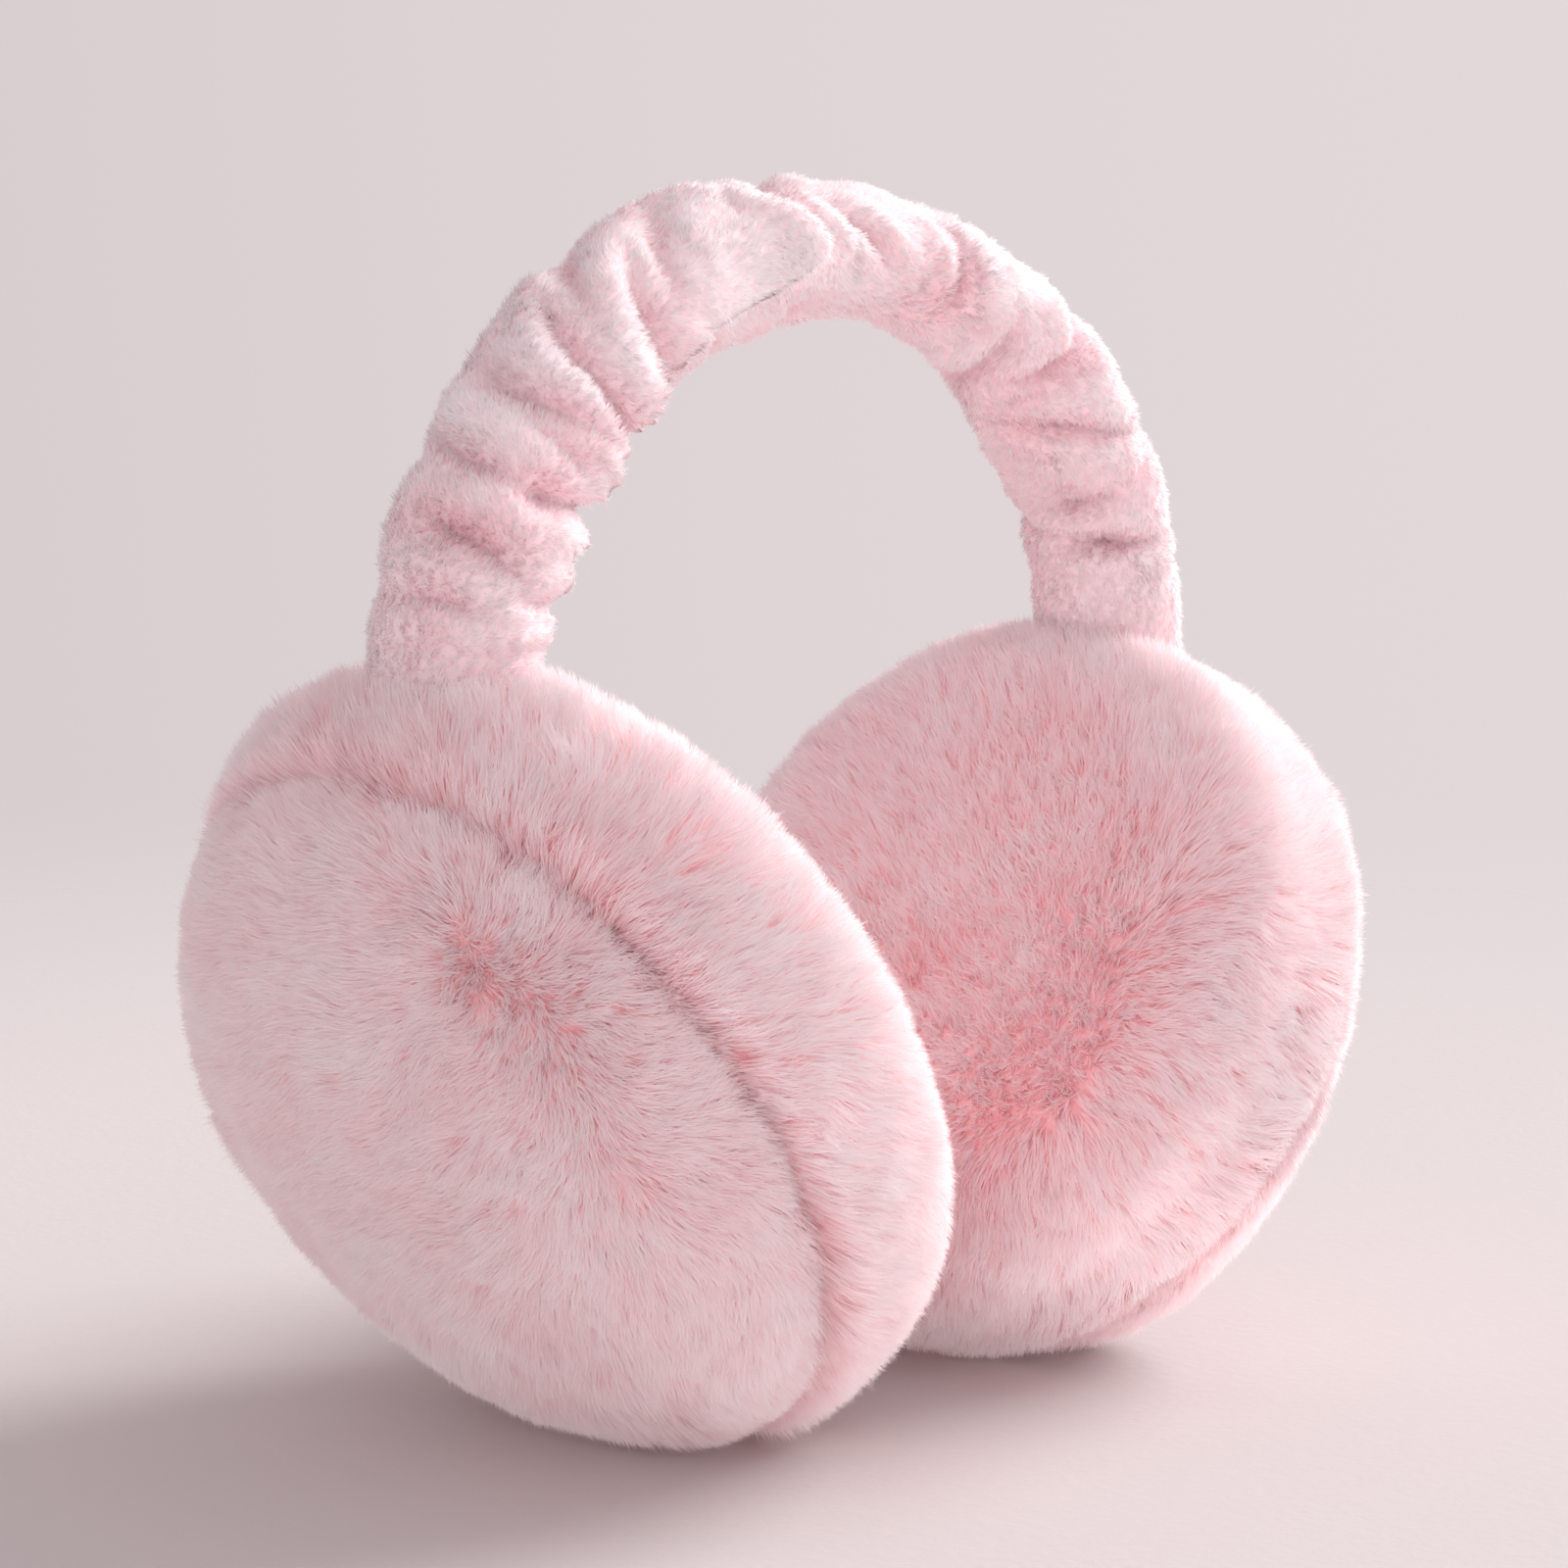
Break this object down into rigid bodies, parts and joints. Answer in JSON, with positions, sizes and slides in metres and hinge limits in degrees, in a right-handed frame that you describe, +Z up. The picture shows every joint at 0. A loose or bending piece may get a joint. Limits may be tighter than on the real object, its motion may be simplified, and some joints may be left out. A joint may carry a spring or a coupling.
{
  "type": "fluffy earmuffs",
  "caption": "Fluffy over-ear earmuffs: a gathered plush sleeve over a head band, joining round stuffed fur cups that lean outward at the top and stand on their lower edges.",
  "frame": {"origin": "centre of the bounding box's underside, on the surface that the cups stand on", "axes": "+X from the left cup to the right cup, +Y to the back, +Z up"},
  "size_m": [0.2018, 0.1316, 0.1901],
  "materials": {
    "plush_sleeve": "short velvety pile, pale pink, matte with a soft sheen",
    "long_fur": "dense soft faux fur, pale pink tips over deeper pink roots, matte"
  },
  "bodies": {
    "root": {"headband_sleeve": "plush_sleeve", "left_dome_fur": "long_fur", "left_pad_fur": "long_fur", "right_dome_fur": "long_fur", "right_pad_fur": "long_fur"}
  },
  "joints": []
}
